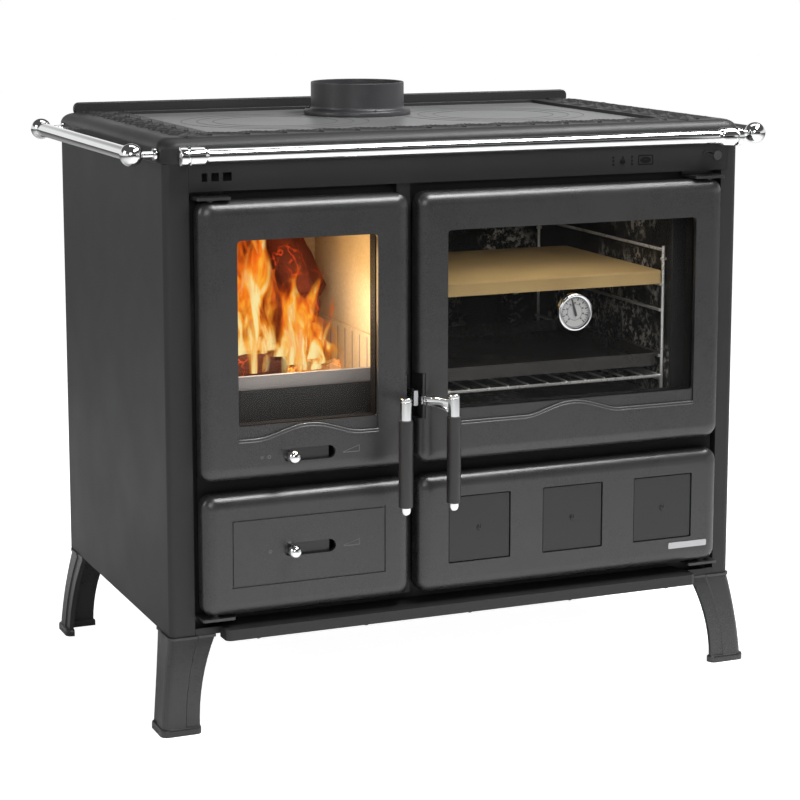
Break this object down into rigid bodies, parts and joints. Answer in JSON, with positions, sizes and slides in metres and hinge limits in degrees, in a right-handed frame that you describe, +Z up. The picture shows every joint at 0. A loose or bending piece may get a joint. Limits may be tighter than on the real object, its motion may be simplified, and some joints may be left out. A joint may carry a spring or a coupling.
{
  "type": "wood cookstove",
  "caption": "Freestanding wood cookstove on splayed legs: cast hob with rails and flue collar, glazed firebox leaf, glazed oven leaf with a wood store below, air sliders and pull handles.",
  "frame": {"origin": "on the floor, under the centre of the whole stove's box", "axes": "+Z up; -Y towards the front with the doors, +Y towards the wall; +X towards the oven side"},
  "size_m": [1.0334, 0.6636, 0.9033],
  "materials": {
    "panel_paint": "satin dark anthracite high-temperature paint",
    "black_iron": "painted casting, fine satin grain",
    "bare_iron": "ground bare iron, light grey",
    "chrome": "polished",
    "grip_black": "satin black",
    "glass": "clear heat-resistant",
    "firebrick": "pressed refractory, tan",
    "enamel": "speckled dark enamel",
    "galvanised": "dull zinc",
    "rope": "woven glass rope",
    "dial_white": "white dial in a bright case",
    "needle_black": "black"
  },
  "bodies": {
    "stove_body": {"side_panel_left": "panel_paint", "side_panel_right": "panel_paint", "back_panel": "panel_paint", "base_plate": "panel_paint", "front_frame": "black_iron", "latch_keeper": "chrome", "control_panel": "panel_paint", "hob_frame": "black_iron", "cooking_plate": "bare_iron", "flue_collar": "black_iron", "side_rail_left": "chrome", "side_rail_right": "chrome", "front_rail": "chrome", "leg_front_left": "black_iron", "leg_front_right": "black_iron", "leg_back_right": "black_iron", "leg_back_left": "black_iron", "ember_ledge": "panel_paint", "hinge_fire_bottom": "black_iron", "hinge_fire_top": "black_iron", "hinge_oven_bottom": "black_iron", "hinge_oven_top": "black_iron", "firebox_shell": "black_iron", "firebrick_left": "firebrick", "firebrick_right": "firebrick", "firebrick_back": "firebrick", "hearth_plate": "black_iron", "fire_grate": "black_iron", "ash_drawer": "galvanised", "oven_box": "enamel", "wood_store": "panel_paint", "oven_runner_left": "chrome", "oven_runner_right": "chrome", "oven_rack": "chrome", "baking_tray": "enamel", "baking_stone": "firebrick"},
    "fire_leaf": {"fire_door_frame": "black_iron", "fire_door_gasket": "rope", "fire_latch_lug": "black_iron", "fire_door_casting": "black_iron", "fire_lower_casting": "black_iron", "fire_glass": "glass"},
    "oven_leaf": {"oven_door_frame": "black_iron", "oven_door_gasket": "rope", "oven_latch_lug": "black_iron", "oven_door_casting": "black_iron", "oven_lower_casting": "black_iron", "oven_glass": "glass", "thermometer": "dial_white", "inlay_plate_1": "black_iron", "inlay_plate_2": "black_iron", "inlay_plate_3": "black_iron"},
    "fire_handle": {"fire_handle_lever": "chrome", "fire_handle_grip": "grip_black"},
    "oven_handle": {"oven_handle_lever": "chrome", "oven_handle_grip": "grip_black"},
    "upper_air_slider": {"air_slider_upper": "chrome"},
    "lower_air_slider": {"air_slider_lower": "chrome"},
    "oven_needle": {"thermometer_needle": "needle_black"},
    "flue_damper": {"smoke_damper": "chrome"}
  },
  "joints": [
    {"name": "fire_door_hinge", "type": "hinge", "parent": "stove_body", "child": "fire_leaf", "pos_m": [-0.397, -0.25425, 0.469], "axis": [0, 0, -1], "range_deg": [0, 110]},
    {"name": "oven_door_hinge", "type": "hinge", "parent": "stove_body", "child": "oven_leaf", "pos_m": [0.401, -0.25425, 0.469], "axis": [0, 0, 1], "range_deg": [0, 110]},
    {"name": "fire_handle_pivot", "type": "hinge", "parent": "fire_leaf", "child": "fire_handle", "pos_m": [-0.1013, -0.25625, 0.465], "axis": [-1, 0, 0], "range_deg": [0, 30]},
    {"name": "oven_handle_pivot", "type": "hinge", "parent": "oven_leaf", "child": "oven_handle", "pos_m": [-0.0817, -0.25625, 0.465], "axis": [-1, 0, 0], "range_deg": [0, 30]},
    {"name": "upper_air_slide", "type": "slide", "parent": "fire_leaf", "child": "upper_air_slider", "axis": [1, 0, 0], "range_m": [0, 0.055]},
    {"name": "lower_air_slide", "type": "slide", "parent": "fire_leaf", "child": "lower_air_slider", "axis": [1, 0, 0], "range_m": [0, 0.055]},
    {"name": "thermometer_turn", "type": "hinge", "parent": "oven_leaf", "child": "oven_needle", "pos_m": [0.1665, -0.2715, 0.579], "axis": [0, 1, 0], "range_deg": [-120, 150]},
    {"name": "flue_damper_pull", "type": "slide", "parent": "stove_body", "child": "flue_damper", "axis": [0, -1, 0], "range_m": [0, 0.06]}
  ]
}
